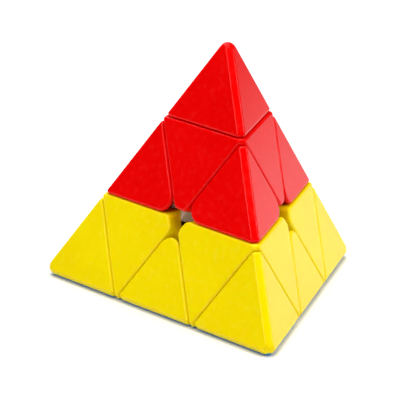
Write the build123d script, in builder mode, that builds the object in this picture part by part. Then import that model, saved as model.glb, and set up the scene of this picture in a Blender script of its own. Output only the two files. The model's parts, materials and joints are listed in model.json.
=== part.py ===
"""A pyramid twisty puzzle: four tips, four corner blocks and six edge pieces on a sprung core.

The frame's origin is the centre of the core, where the four turning axes meet, and +Z runs up through the top
corner. A corner's axis runs from the centre out through that corner, and a height along it is the distance
from the centre: the face opposite a corner is at -inradius and the sharp corner at 3 * inradius.
"""

import os
from math import cos, radians, sin, sqrt, tan

from build123d import *

# Driving dimensions, in millimetres and degrees.
side = 98.0  # edge of the sharp tetrahedron
layer_cut = 6.9  # height on a corner's axis of the cut under its turning layer
tip_cut = 32.2  # height on a corner's axis of the cut under its tip
half_gap = 0.075  # each piece stands this far back from the cut between two pieces
inner_gap = 0.075  # and the pieces round the core this much further
wall = 1.8  # thickness of the hollow shells
facet_round = 0.8  # rounding round every outer facet
strip_depth = 1.56  # flat strip along each tetrahedron edge, measured in from the sharp edge
apex_round = 2.3  # rounding between the three strips at a tip's point
block_nose = 2.7  # how far a corner block's facet stops short of the middle of the face
block_nose_round = 2.2
edge_nose_round = 4.5  # rounding of an edge piece's innermost line
base_colour_depth = 0.45  # thickness of the base colour at the rim of the underside
peak_start = 51.4  # distance from the Z axis past which the base colour rises into a lower tip's point
peak_slope = 0.6
snug = 0.05  # clearance of a plug that is pushed into a shell
plug_length = 1.5  # how far a base cap reaches into its shell

core_radius = 10.5
foot_inner = 10.8  # the edge anchors' feet are parts of a ball shell round the core
foot_outer = 14.85
foot_half_angle = 44.0  # from the middle of a foot to its ends, seen from the centre
wing_inner = 15.0  # the corner stems' wings are parts of the next ball shell
wing_outer = 17.0
cone_angle = 74.0  # half angle of the cone that a turning layer sweeps between core and wings
neck_half_length = 7.5
anchor_plug_end = 20.0

post_radius = 2.6
post_end = 21.5
bearing_clearance = 0.1
stem_start = 10.8
stem_radius = 4.6
spring_seat = 17.2
cup_bore = 4.3
cup_radius = 5.5
cup_end = 24.8

insert_radius = 1.9
insert_length = 6.0
screw_radius = 1.25
thread_clearance = 0.02
screw_length = 10.5
pilot_depth = 11.0
head_radius = 2.6
head_height = 2.0
recess_width = 0.6
recess_length = 3.2
recess_depth = 1.0
washer_start = 23.5
washer_thickness = 0.8
washer_radius = 4.0
washer_bore = 1.4
spring_wire = 0.35
spring_radius = 3.4
spring_turns = 4

tip_plate = 1.8
boss_radius = 5.0
boss_bore = 3.6
boss_clearance = 0.08
snap_clearance = 0.15  # between the snap ridge and the inside of the corner block's wall
snap_length = 0.85
snap_depth = 0.5
snap_crest = (0.4, 0.13)  # the crest's start and end, down from the end of the ridge

# Sizes that follow from them.
inradius = side / (2 * sqrt(6))
strip_height = inradius * sqrt(3) - strip_depth
edge_nose_height = sqrt(3) * (layer_cut + half_gap) + edge_nose_round * (sqrt(3) - 1)
parting = inradius - base_colour_depth  # depth below the centre at which the base colour starts
tip_start = tip_cut + half_gap
head_start = washer_start + washer_thickness
bearing_bore = post_radius + bearing_clearance
snap_end = tip_cut - half_gap - wall - snap_clearance
cone_radius = 4 * wing_outer  # the open end of the layers' cones, well clear of the anchors
overshoot = 1.0  # how far a bore runs past the surface it opens through
reach = 2 * side  # larger than anything here


def lower_corner(azimuth):
    """The direction of a corner of the base."""
    flat = 2 * sqrt(2) / 3
    return Vector(flat * cos(radians(azimuth)), flat * sin(radians(azimuth)), -1 / 3)


UP = Vector(0, 0, 1)
corners = {
    "top": UP,
    "front": lower_corner(-90),
    "right": lower_corner(30),
    "left": lower_corner(150),
}
edges = [
    ("top", "left"),
    ("top", "front"),
    ("top", "right"),
    ("left", "front"),
    ("front", "right"),
    ("right", "left"),
]


# ---- planes and cutting ----


def others(*names):
    """The directions of the corners that aren't named."""
    return [axis for name, axis in corners.items() if name not in names]


def between(first, second):
    """The direction halfway between two corners, through the middle of the tetrahedron's edge."""
    return (first + second).normalized()


def facing(direction, distance):
    """A plane across a direction, facing along it, at a distance from the centre."""
    return Plane(origin=direction * distance, z_dir=direction)


def facing_in(direction, distance):
    """The same plane, facing back along the direction."""
    return Plane(origin=direction * distance, z_dir=-direction)


def corner_frame(name):
    """A plane through the centre with a corner's axis as its Z."""
    neighbour = corners["front"] if name == "top" else UP
    return Plane(origin=(0, 0, 0), x_dir=neighbour + corners[name] / 3, z_dir=corners[name])


def edge_frame(names):
    """A plane through the centre whose Z runs out through the middle of a tetrahedron's edge."""
    first, second = corners[names[0]], corners[names[1]]
    return Plane(origin=(0, 0, 0), x_dir=first - second, z_dir=between(first, second))


def carry(source, target):
    """The placement that carries one frame onto another."""
    return target.location * source.location.inverse()


def keep_behind(planes):
    """Cut the part in hand back to what lies behind every plane."""
    for plane in planes:
        split(bisect_by=plane, keep=Keep.BOTTOM)


def turn_outline(name, points, mode=Mode.ADD):
    """Turn a closed outline of (radius, height) points round a corner's axis."""
    frame = corner_frame(name)
    profile_plane = Plane(origin=(0, 0, 0), x_dir=frame.x_dir, z_dir=-frame.y_dir)
    with BuildSketch(profile_plane) as profile:
        with BuildLine():
            Polyline(*points, close=True)
        make_face()
    revolve(profile.sketch, axis=Axis((0, 0, 0), corners[name]), mode=mode)


def turn_rectangle(name, inner, outer, start, end, mode=Mode.ADD):
    """Add or remove a ring, or a plain cylinder where its inner radius is 0, on a corner's axis."""
    turn_outline(name, [(inner, start), (outer, start), (outer, end), (inner, end)], mode)


def shell_round_core(inner, outer):
    """The hollow ball between two radii."""
    Sphere(outer)
    Sphere(inner, mode=Mode.SUBTRACT)


def keep_in_layers(names):
    """Round the core, keep only what the turning layers of these corners sweep and the others don't."""
    height = cone_radius / tan(radians(cone_angle))
    for name in corners:
        inside = name in names
        clearance = (half_gap + inner_gap) / sin(radians(cone_angle))
        point = clearance if inside else -clearance
        mode = Mode.INTERSECT if inside else Mode.SUBTRACT
        turn_outline(name, [(0, point), (cone_radius, point + height), (0, point + height)], mode)


# ---- the bounds of each kind of piece, or of the hollow some way inside it ----


def face_planes(names, inset, base_inset):
    """The outer faces that a piece at these corners shows, moved in, the base by its own amount."""
    return [
        facing(-axis, inradius - (base_inset if axis is UP else inset)) for axis in others(*names)
    ]


def block_nose_plane(name, other, inset=0.0):
    """The plane that stops a corner block short of the middle of the face opposite another corner."""
    outward = (corners[name] + other / 3).normalized()
    origin = outward * (block_nose + 2 * half_gap + inset) - other * inradius
    return Plane(origin=origin, z_dir=-outward)


def block_planes(name, inset=0.0, base_inset=0.0):
    """The bounds of a corner block."""
    axis = corners[name]
    planes = [facing(axis, tip_cut - half_gap - inset)]
    planes.append(facing_in(axis, layer_cut + half_gap + inset))
    planes += face_planes([name], inset, base_inset)
    for other in others(name):
        planes.append(facing(other, layer_cut - half_gap - inset))
        planes.append(facing(between(axis, other), strip_height - inset))
        planes.append(block_nose_plane(name, other, inset))
    return planes


def edge_planes(names, inset=0.0, base_inset=0.0):
    """The bounds of an edge piece."""
    first, second = corners[names[0]], corners[names[1]]
    planes = [facing_in(axis, layer_cut + half_gap + inset) for axis in (first, second)]
    planes += face_planes(names, inset, base_inset)
    planes.append(facing(between(first, second), strip_height - inset))
    return planes


def tip_planes(name, start, inset=0.0, base_inset=0.0):
    """The bounds of a tip, beginning at a height on its axis."""
    axis = corners[name]
    planes = [facing_in(axis, start)]
    planes += face_planes([name], inset, base_inset)
    planes += [facing(between(axis, other), strip_height - inset) for other in others(name)]
    return planes


def solid_behind(planes):
    """A convex solid with these planes as its bounds."""
    with BuildPart() as solid:
        Box(reach, reach, reach)
        keep_behind(planes)
    return solid.part


# ---- rounded outer forms, solid all through ----


def lies_on(edge, plane):
    """Whether an edge of a solid lies in a plane."""
    points = [edge @ 0.1, edge @ 0.5, edge @ 0.9]
    return all(abs(plane.to_local_coords(point).Z) < 1e-4 for point in points)


def strips(name):
    """The planes of the three flat strips that run down from a corner."""
    return [facing(between(corners[name], other), strip_height) for other in others(name)]


def round_facets(form, planes):
    """Round every edge of the outer facets that lie in these planes."""
    outline = form.edges().filter_by(lambda edge: any(lies_on(edge, plane) for plane in planes))
    fillet(outline, radius=facet_round)


def block_form(name):
    """A corner block's outer form, with its three noses rounded."""
    with BuildPart() as form:
        Box(reach, reach, reach)
        keep_behind(block_planes(name))
        for other in others(name):
            nose = block_nose_plane(name, other)
            face = facing(-other, inradius)
            bottom = facing(corners[name], layer_cut + half_gap)
            flanks = form.edges().filter_by(
                lambda edge: lies_on(edge, nose) and not lies_on(edge, face) and not lies_on(edge, bottom)
            )
            fillet(flanks, radius=block_nose_round)
        round_facets(form, face_planes([name], 0.0, 0.0) + strips(name))
    return form.part


def edge_form(names):
    """An edge piece's outer form, rounded along its innermost line."""
    with BuildPart() as form:
        Box(reach, reach, reach)
        keep_behind(edge_planes(names))
        innermost = form.edges().sort_by_distance((0, 0, 0))[0]
        fillet(innermost, radius=edge_nose_round)
        strip = facing(between(corners[names[0]], corners[names[1]]), strip_height)
        round_facets(form, face_planes(names, 0.0, 0.0) + [strip])
    return form.part


def tip_form(name):
    """A tip's outer form, with the three ridges at its point rounded."""
    with BuildPart() as form:
        Box(reach, reach, reach)
        keep_behind(tip_planes(name, tip_start))
        ridges = form.edges().filter_by(
            lambda edge: sum(lies_on(edge, strip) for strip in strips(name)) == 2
        )
        fillet(ridges, radius=apex_round)
        round_facets(form, face_planes([name], 0.0, 0.0) + strips(name))
    return form.part


# ---- outer shells and their base caps ----


def write_shell(label, form, hollow, parting_planes):
    """Hollow a form out round the core, and stop it where its base colour starts, if it has one."""
    with BuildPart() as shell:
        add(form)
        add(hollow, mode=Mode.SUBTRACT)
        Sphere(wing_outer, mode=Mode.SUBTRACT)
        keep_behind(parting_planes)
    shell.part.label = label
    export_step(shell.part, f"parts/{label}.step")


def write_base_cap(label, form, hollow_planes, parting_planes):
    """The blue facet on the underside of a form, with a plug that holds it in its shell."""
    plug = solid_behind(
        hollow_planes + [facing(-UP, parting + snug), facing_in(-UP, parting - plug_length)]
    )
    with BuildPart() as cap:
        add(form)
        add(solid_behind(parting_planes), mode=Mode.SUBTRACT)
        add(plug)
    cap.part.label = label
    export_step(cap.part, f"parts/{label}.step")


def peak_plane(name):
    """The slope on which the base colour rises a little into the point of a lower tip."""
    axis = corners[name]
    outward = Vector(axis.X, axis.Y, 0).normalized()
    slope = (outward * peak_slope - UP).normalized()
    return Plane(origin=outward * peak_start - UP * parting, z_dir=slope)


parting_plane = facing(-UP, parting)
open_base = -plug_length  # a lower piece's hollow runs on out through its base


def make_block(name):
    """The outer part of a corner block, with a bore in its outer wall for the tip's boss."""
    on_base = name != "top"
    form = block_form(name)
    with BuildPart() as hollow:
        add(solid_behind(block_planes(name, wall, open_base if on_base else wall)))
        bore = boss_radius + boss_clearance
        turn_rectangle(name, 0, bore, tip_cut - 2 * wall, tip_cut + wall)
    parting_planes = [parting_plane] if on_base else []
    write_shell(f"corner_shell_{name}", form, hollow.part, parting_planes)
    if on_base:
        cap_planes = block_planes(name, wall + snug, open_base)
        write_base_cap(f"corner_base_{name}", form, cap_planes, parting_planes)


def edge_hollow_planes(names, inset, base_inset):
    """The bounds of an edge piece's hollow, which stops short of the rounded innermost line."""
    middle = between(corners[names[0]], corners[names[1]])
    nose = facing_in(middle, edge_nose_height + inset)
    return edge_planes(names, inset, base_inset) + [nose]


def throat_planes(names, inset, base_inset, half_length):
    """The bounds of the way through an edge shell's innermost wall, where an anchor's neck meets its plug."""
    side_axes = others(*names)
    across = (side_axes[0] - side_axes[1]).normalized()
    ends = [facing(across, half_length), facing(-across, half_length)]
    return edge_planes(names, inset, base_inset) + ends


def anchor_form(names):
    """A foot round the core under two wings, the neck between them and a plug for the edge's shell."""
    middle = between(corners[names[0]], corners[names[1]])
    side_axes = others(*names)
    across = (side_axes[0] - side_axes[1]).normalized()
    neck_ends = [facing(across, neck_half_length), facing(-across, neck_half_length)]
    with BuildPart() as neck:
        shell_round_core(foot_inner, wing_outer)
        keep_behind(edge_planes(names, inner_gap) + neck_ends)
    with BuildPart() as plug:
        shell_round_core(wing_outer - snug, anchor_plug_end)
        keep_behind(edge_hollow_planes(names, wall + snug, wall + snug))
    with BuildPart() as throat:
        shell_round_core(wing_outer - snug, anchor_plug_end)
        keep_behind(throat_planes(names, wall + snug, wall + snug, neck_half_length))
    tilt = radians(foot_half_angle)
    foot_ends = [facing(way * cos(tilt) - middle * sin(tilt), 0) for way in (across, -across)]
    with BuildPart() as form:
        shell_round_core(foot_inner, foot_outer)
        keep_in_layers(names)
        keep_behind(foot_ends)
        add(neck.part)
        add(throat.part)
        add(plug.part)
    return form.part


def make_edge(names, anchor_model):
    """The outer part of an edge piece and the anchor that holds it under the corner stems' wings."""
    on_base = "top" not in names
    label = "_".join(names)
    form = edge_form(names)
    base_inset = open_base if on_base else wall
    with BuildPart() as hollow:
        add(solid_behind(edge_hollow_planes(names, wall, base_inset)))
        add(solid_behind(throat_planes(names, wall, base_inset, neck_half_length + snug)))
    parting_planes = [parting_plane] if on_base else []
    write_shell(f"edge_shell_{label}", form, hollow.part, parting_planes)
    if on_base:
        cap_planes = edge_hollow_planes(names, wall + snug, open_base)
        write_base_cap(f"edge_base_{label}", form, cap_planes, parting_planes)
    with BuildPart() as anchor:
        with Locations(carry(edge_frame(edges[0]), edge_frame(names))):
            add(anchor_model)
        if on_base:
            keep_behind([facing(-UP, parting - plug_length - snug)])
    anchor.part.label = f"edge_anchor_{label}"
    export_step(anchor.part, f"parts/edge_anchor_{label}.step")


def make_tip(name):
    """A tip: its hollow shell, and the plate and snap boss that it turns on."""
    on_base = name != "top"
    form = tip_form(name)
    hollow = solid_behind(tip_planes(name, tip_cut - wall, wall, open_base if on_base else wall))
    parting_planes = [parting_plane, peak_plane(name)] if on_base else []
    write_shell(f"tip_shell_{name}", form, hollow, parting_planes)
    plate_end = tip_start + tip_plate
    if on_base:
        cap_planes = tip_planes(name, plate_end + snug, wall + snug, open_base)
        write_base_cap(f"tip_base_{name}", form, cap_planes, parting_planes)

    boss_end = snap_end - snap_length
    boss_root = tip_start + tip_plate / 2
    with BuildPart() as plug:
        Box(reach, reach, reach)
        keep_behind(tip_planes(name, tip_start, wall + snug, wall + snug))
        keep_behind([facing(corners[name], plate_end)])
        turn_outline(
            name,
            [
                (boss_bore, boss_end),
                (boss_radius, boss_end),
                (boss_radius + snap_depth, snap_end - snap_crest[0]),
                (boss_radius + snap_depth, snap_end - snap_crest[1]),
                (boss_radius, snap_end),
                (boss_radius, boss_root),
                (boss_bore, boss_root),
            ],
        )
    plug.part.label = f"tip_plug_{name}"
    export_step(plug.part, f"parts/tip_plug_{name}.step")


# ---- the middle of the puzzle ----


def stem_form(name):
    """The inner part of a corner block: a bearing on the core's post, a spring cup and a wing."""
    with BuildPart() as form:
        shell_round_core(wing_inner, wing_outer)
        keep_behind(block_planes(name, inner_gap))
        turn_outline(
            name,
            [
                (bearing_bore, stem_start),
                (stem_radius, stem_start),
                (stem_radius, wing_inner),
                (cup_radius, wing_outer + snug),
                (cup_radius, cup_end),
                (cup_bore, cup_end),
                (cup_bore, spring_seat),
                (bearing_bore, spring_seat),
            ],
        )
        turn_rectangle(name, 0, bearing_bore, 0, spring_seat + overshoot, Mode.SUBTRACT)
    return form.part


def make_stem(name, form):
    """The top corner's stem, carried to another corner."""
    with BuildPart() as stem:
        with Locations(carry(corner_frame("top"), corner_frame(name))):
            add(form)
    stem.part.label = f"corner_stem_{name}"
    export_step(stem.part, f"parts/corner_stem_{name}.step")


def make_core():
    """The white ball with a post along each axis, bored for a threaded insert and the screw's point."""
    with BuildPart() as core:
        Sphere(core_radius)
        for name in corners:
            turn_rectangle(name, 0, post_radius, 0, post_end)
        for name in corners:
            insert_start = post_end - insert_length
            turn_rectangle(name, 0, insert_radius, insert_start, post_end + overshoot, Mode.SUBTRACT)
            pilot = screw_radius + thread_clearance
            turn_rectangle(name, 0, pilot, head_start - pilot_depth, post_end, Mode.SUBTRACT)
    core.part.label = "core"
    export_step(core.part, "parts/core.step")


def make_fastening(name):
    """The threaded insert, screw, washer and spring that hold one corner block down."""
    with BuildPart() as insert:
        insert_outer = insert_radius - thread_clearance
        turn_rectangle(name, screw_radius, insert_outer, post_end - insert_length, post_end)
    insert.part.label = f"insert_{name}"
    export_step(insert.part, f"parts/insert_{name}.step")

    with BuildPart() as screw:
        shank = screw_radius - thread_clearance
        turn_rectangle(name, 0, shank, head_start - screw_length, head_start)
        turn_rectangle(name, 0, head_radius, head_start, head_start + head_height)
        with BuildSketch(facing(corners[name], head_start + head_height)):
            Rectangle(recess_length, recess_width)
            Rectangle(recess_width, recess_length)
        extrude(amount=-recess_depth, mode=Mode.SUBTRACT)
    screw.part.label = f"screw_{name}"
    export_step(screw.part, f"parts/screw_{name}.step")

    with BuildPart() as washer:
        turn_rectangle(name, washer_bore, washer_radius, washer_start, head_start)
    washer.part.label = f"washer_{name}"
    export_step(washer.part, f"parts/washer_{name}.step")

    coil_start = spring_seat + spring_wire + snug
    coil_height = washer_start - snug - spring_wire - coil_start
    with BuildPart() as spring:
        with BuildLine() as coil:
            Helix(
                coil_height / spring_turns,
                coil_height,
                spring_radius,
                center=corners[name] * coil_start,
                direction=corners[name],
            )
        with BuildSketch(Plane(origin=coil.line @ 0, z_dir=coil.line % 0)):
            Circle(spring_wire)
        sweep(is_frenet=True)
    spring.part.label = f"spring_{name}"
    export_step(spring.part, f"parts/spring_{name}.step")


os.makedirs("parts", exist_ok=True)
make_core()
top_stem = stem_form("top")
for corner in corners:
    make_fastening(corner)
    make_stem(corner, top_stem)
    make_block(corner)
    make_tip(corner)
first_anchor = anchor_form(edges[0])
for pair in edges:
    make_edge(pair, first_anchor)
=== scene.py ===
"""The looks of a pyramid twisty puzzle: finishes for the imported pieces, a floor, soft lights and a camera."""

import json
from math import cos, pi, radians, sin

import bpy
from mathutils import Matrix, Vector


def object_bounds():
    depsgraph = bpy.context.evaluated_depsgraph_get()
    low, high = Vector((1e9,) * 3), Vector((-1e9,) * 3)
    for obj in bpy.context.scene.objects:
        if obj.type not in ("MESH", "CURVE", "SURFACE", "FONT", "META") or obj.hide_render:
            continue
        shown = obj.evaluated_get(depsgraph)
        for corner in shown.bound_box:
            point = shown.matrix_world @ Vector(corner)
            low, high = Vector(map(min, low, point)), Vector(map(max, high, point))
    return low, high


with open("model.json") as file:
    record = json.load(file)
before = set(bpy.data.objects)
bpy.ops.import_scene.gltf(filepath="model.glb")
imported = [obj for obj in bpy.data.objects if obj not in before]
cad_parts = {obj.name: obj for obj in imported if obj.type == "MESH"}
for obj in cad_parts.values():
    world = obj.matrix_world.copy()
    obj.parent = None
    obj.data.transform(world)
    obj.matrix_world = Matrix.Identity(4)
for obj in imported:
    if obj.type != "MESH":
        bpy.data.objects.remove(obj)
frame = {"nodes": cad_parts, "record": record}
cad_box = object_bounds()
nodes = frame["nodes"]
record = frame["record"]
scene = bpy.context.scene

# ---- the camera, all in metres and degrees ----

CAMERA_TURN = 14.8  # how far the view is turned from +Y towards +X
CAMERA_RISE = 18.0  # how far it looks down
CAMERA_ROLL = 1.46
CAMERA_DISTANCE = 0.835
CAMERA_ASIDE = -0.00657  # where its line of sight passes the frame's origin
CAMERA_ABOVE = 0.0081
SENSOR = 36.0
LENS = 259.4


def add_camera():
    turn, rise, roll = radians(CAMERA_TURN), radians(CAMERA_RISE), radians(CAMERA_ROLL)
    ahead = Vector((sin(turn) * cos(rise), cos(turn) * cos(rise), -sin(rise)))
    level = Vector((cos(turn), -sin(turn), 0))
    upright = level.cross(ahead)
    across = cos(roll) * level + sin(roll) * upright
    up = cos(roll) * upright - sin(roll) * level
    data = bpy.data.cameras.new("camera")
    data.lens, data.sensor_width = LENS, SENSOR
    data.clip_start, data.clip_end = 0.05, 50
    camera = bpy.data.objects.new("camera", data)
    scene.collection.objects.link(camera)
    place = -CAMERA_DISTANCE * ahead + CAMERA_ASIDE * across + CAMERA_ABOVE * up
    camera.matrix_world = Matrix.Translation(place) @ Matrix((across, up, -ahead)).transposed().to_4x4()
    scene.camera = camera


# ---- small helpers for node trees ----


class Tree:
    """A material's node tree, with one short call for each kind of node used below."""

    def __init__(self, name):
        self.material = bpy.data.materials.new(name)
        self.material.use_nodes = True
        self.nodes = self.material.node_tree.nodes
        self.links = self.material.node_tree.links
        self.shader = self.nodes["Principled BSDF"]
        self.place = self.nodes.new("ShaderNodeTexCoord").outputs["Object"]

    def put(self, socket, value):
        """Link another node's output to a socket, or set the socket to a value."""
        if isinstance(value, bpy.types.NodeSocket):
            self.links.new(value, socket)
        else:
            socket.default_value = value

    def add(self, kind, inputs, **settings):
        node = self.nodes.new(kind)
        for key, value in settings.items():
            setattr(node, key, value)
        for key, value in inputs.items():
            self.put(node.inputs[key], value)
        return node

    def stretched(self, scale, turn=(0, 0, 0)):
        """Object coordinates in metres, turned and then scaled."""
        turned = self.add("ShaderNodeMapping", {"Vector": self.place, "Rotation": turn})
        return self.add("ShaderNodeMapping", {"Vector": turned.outputs[0], "Scale": scale}).outputs[0]

    def noise(self, scale, detail=3.0, vector=None):
        """Noise from 0 to 1 with this many features to the metre."""
        inputs = {"Vector": vector or self.place, "Scale": scale, "Detail": detail, "Roughness": 0.55}
        return self.add("ShaderNodeTexNoise", inputs).outputs[0]

    def ramp(self, value, start, end, low=0.0, high=1.0):
        """A value's stretch from start to end, spread from low to high and held there."""
        inputs = {"Value": value, "From Min": start, "From Max": end, "To Min": low, "To Max": high}
        return self.add("ShaderNodeMapRange", inputs, clamp=True).outputs[0]

    def maths(self, operation, first, second):
        return self.add("ShaderNodeMath", {0: first, 1: second}, operation=operation).outputs[0]

    def mix(self, share, first, second):
        """Two colours mixed. The colour sockets share their names with others, so they go by number."""
        node = self.add("ShaderNodeMix", {}, data_type="RGBA")
        for number, value in ((0, share), (6, first), (7, second)):
            self.put(node.inputs[number], value)
        return node.outputs[2]

    def edges(self, radius):
        """1 on edges sharper than this radius, and 0 on flat and gently curved parts."""
        rounded = self.add("ShaderNodeBevel", {"Radius": radius}, samples=6).outputs[0]
        true = self.nodes.new("ShaderNodeNewGeometry").outputs["Normal"]
        same = self.add("ShaderNodeVectorMath", {0: rounded, 1: true}, operation="DOT_PRODUCT")
        return self.ramp(same.outputs["Value"], 0.995, 0.9)

    def bump(self, height, depth, strength, normal=None):
        inputs = {"Height": height, "Distance": depth, "Strength": strength}
        if normal:
            inputs["Normal"] = normal
        return self.add("ShaderNodeBump", inputs).outputs[0]

    def feed(self, socket, value):
        self.links.new(value, self.shader.inputs[socket])


def colour(*rgb):
    return (*rgb, 1.0)


# ---- finishes ----

GLOSS = (0.14, 0.115)  # roughness and specular level of the coloured plastics
TRANSLUCENCE = 0.25  # share of the light that goes a little way into a plastic
TRANSLUCENCE_DEPTH = 0.0012


def moulded_plastic(name, base, worn_and_highlight, deep, roughness, specular):
    """Glossy moulded plastic: faint cloudiness, orange peel, hairline scratches, and duller edges whose paler
    colour is partly edge wear and partly a painted highlight.
    """
    tree = Tree(name)
    cloudy = tree.noise(38, 4)
    mottled = tree.noise(620, 3)
    tinted = tree.mix(tree.ramp(cloudy, 0.3, 0.7), colour(*deep), colour(*base))
    speckled = tree.mix(tree.ramp(mottled, 0.52, 0.75, 0.0, 0.12), tinted, colour(*worn_and_highlight))
    # Paler edges: partly edge wear, partly a painted highlight along the rounded edges, broken up by noise
    edge = tree.edges(0.0005)
    worn_and_highlit_edge = tree.maths("MULTIPLY", edge, tree.ramp(tree.noise(900, 4), 0.42, 0.62))
    tree.feed("Base Color", tree.mix(tree.maths("MULTIPLY", worn_and_highlit_edge, 0.45), speckled, colour(*worn_and_highlight)))

    hair_a = tree.noise(1.0, 2, tree.stretched((60, 5200, 5200), (0.4, 0.2, 0.7)))
    hair_b = tree.noise(1.0, 2, tree.stretched((5200, 80, 5200), (0.9, 0.5, 0.3)))
    hairs = tree.maths("MAXIMUM", tree.ramp(hair_a, 0.66, 0.74), tree.ramp(hair_b, 0.67, 0.75))
    smears = tree.ramp(tree.noise(85, 5), 0.35, 0.7, roughness, roughness + 0.07)
    scratched = tree.maths("ADD", smears, tree.maths("MULTIPLY", hairs, 0.06))
    tree.feed("Roughness", tree.maths("ADD", scratched, tree.maths("MULTIPLY", worn_and_highlit_edge, 0.12)))

    peel = tree.bump(tree.noise(1500, 2), 0.000012, 0.35)
    tree.feed("Normal", tree.bump(hairs, 0.000004, 0.3, peel))
    tree.shader.inputs["Specular IOR Level"].default_value = specular
    tree.shader.inputs["Subsurface Weight"].default_value = TRANSLUCENCE
    tree.shader.inputs["Subsurface Scale"].default_value = TRANSLUCENCE_DEPTH
    return tree.material


def turned_metal(name, base, tarnish, roughness, grain):
    """Metal with fine tool marks round it, patches of tarnish and bright rubbed edges."""
    tree = Tree(name)
    patches = tree.ramp(tree.noise(420, 5), 0.4, 0.68)
    edge = tree.edges(0.0002)
    aged = tree.mix(tree.maths("MULTIPLY", patches, 0.55), colour(*base), colour(*tarnish))
    bright = [min(1.0, 1.12 * part) for part in base]
    tree.feed("Base Color", tree.mix(tree.maths("MULTIPLY", edge, 0.6), aged, colour(*bright)))
    marks = tree.noise(1.0, 2, tree.stretched(grain))
    rough = tree.ramp(marks, 0.3, 0.7, roughness - 0.06, roughness + 0.08)
    tree.feed("Roughness", tree.maths("ADD", rough, tree.maths("MULTIPLY", patches, 0.12)))
    tree.feed("Normal", tree.bump(marks, 0.000006, 0.4))
    tree.shader.inputs["Metallic"].default_value = 1.0
    return tree.material


def finishes():
    """One finish for each of the record's material slots."""
    # Each plastic's second colour tints its random pale flecks and its edges; on the edges it is partly wear
    # and partly a painted highlight
    return {
        "red_plastic": moulded_plastic(
            "red_plastic", (0.86, 0.001, 0.001), (0.93, 0.06, 0.05), (0.79, 0.0, 0.0), *GLOSS
        ),
        "yellow_plastic": moulded_plastic(
            "yellow_plastic", (0.93, 0.74, 0.0), (0.98, 0.84, 0.12), (0.88, 0.68, 0.0), *GLOSS
        ),
        "blue_plastic": moulded_plastic(
            "blue_plastic", (0.0, 0.27, 0.58), (0.08, 0.38, 0.66), (0.0, 0.235, 0.52), *GLOSS
        ),
        "white_plastic": moulded_plastic(
            "white_plastic", (0.84, 0.77, 0.66), (0.9, 0.85, 0.76), (0.79, 0.71, 0.59), 0.42, 0.4
        ),
        "brass": turned_metal("brass", (0.78, 0.57, 0.27), (0.5, 0.33, 0.13), 0.28, (900, 900, 9000)),
        "steel": turned_metal("steel", (0.63, 0.63, 0.65), (0.42, 0.41, 0.4), 0.3, (1200, 1200, 8000)),
        "spring_steel": turned_metal(
            "spring_steel", (0.52, 0.52, 0.54), (0.3, 0.29, 0.28), 0.26, (5000, 5000, 5000)
        ),
    }


def dress_nodes():
    """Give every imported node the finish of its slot."""
    finish_of = finishes()
    for part in record["subparts"]:
        mesh = nodes[part["node"]].data
        mesh.materials.clear()
        mesh.materials.append(finish_of[part["material_slot"]])


# ---- the studio ----

FLOOR_HALF = 6.0
MIDDLE = Vector((0, -0.012, 0.015))  # roughly the middle of the object


def add_floor():
    lowest = cad_box[0].z - 0.0002
    bpy.ops.mesh.primitive_plane_add(size=2 * FLOOR_HALF, location=(0, 0, lowest))
    floor = bpy.context.object
    floor.name = "floor"
    tree = Tree("floor")
    shade = tree.ramp(tree.noise(9, 3), 0.3, 0.7)
    tree.feed("Base Color", tree.mix(shade, colour(0.86, 0.86, 0.86), colour(0.88, 0.88, 0.88)))
    tree.shader.inputs["Roughness"].default_value = 0.9
    tree.shader.inputs["Specular IOR Level"].default_value = 0.1
    floor.data.materials.append(tree.material)


def add_softbox(name, azimuth, elevation, distance, width, height, brightness):
    """A flat light that faces the object. Brightness 1 is that of a white card in full light."""
    turn, rise = radians(azimuth), radians(elevation)
    towards = Vector((sin(turn) * cos(rise), -cos(turn) * cos(rise), sin(rise)))
    data = bpy.data.lights.new(name, "AREA")
    data.shape, data.size, data.size_y = "RECTANGLE", width, height
    data.energy = brightness * pi * width * height
    light = bpy.data.objects.new(name, data)
    scene.collection.objects.link(light)
    light.location = MIDDLE + distance * towards
    light.rotation_mode = "QUATERNION"
    light.rotation_quaternion = towards.to_track_quat("Z", "Y")


def add_world(seen, glow):
    """A pale surround: what the camera sees of it, and the dimmer glow that it lends the object."""
    world = bpy.data.worlds.new("studio")
    world.use_nodes = True
    tree = world.node_tree
    background = tree.nodes["Background"]
    background.inputs["Color"].default_value = colour(1, 1, 1)
    path = tree.nodes.new("ShaderNodeLightPath")
    strength = tree.nodes.new("ShaderNodeMapRange")
    strength.inputs["To Min"].default_value = glow
    strength.inputs["To Max"].default_value = seen
    tree.links.new(path.outputs["Is Camera Ray"], strength.inputs["Value"])
    tree.links.new(strength.outputs[0], background.inputs["Strength"])
    scene.world = world


dress_nodes()
add_camera()
add_floor()
add_world(1.0, 0.04)
add_softbox("left_softbox", -55, 40, 0.9, 0.5, 0.5, 4.15)
add_softbox("right_softbox", 62, 36, 0.9, 0.42, 0.42, 7.3)
add_softbox("back_softbox", 185, 48, 0.8, 0.6, 0.5, 3.4)
add_softbox("overhead", 0, 90, 1.2, 0.9, 0.9, 4.4)
scene.view_settings.view_transform = "Standard"
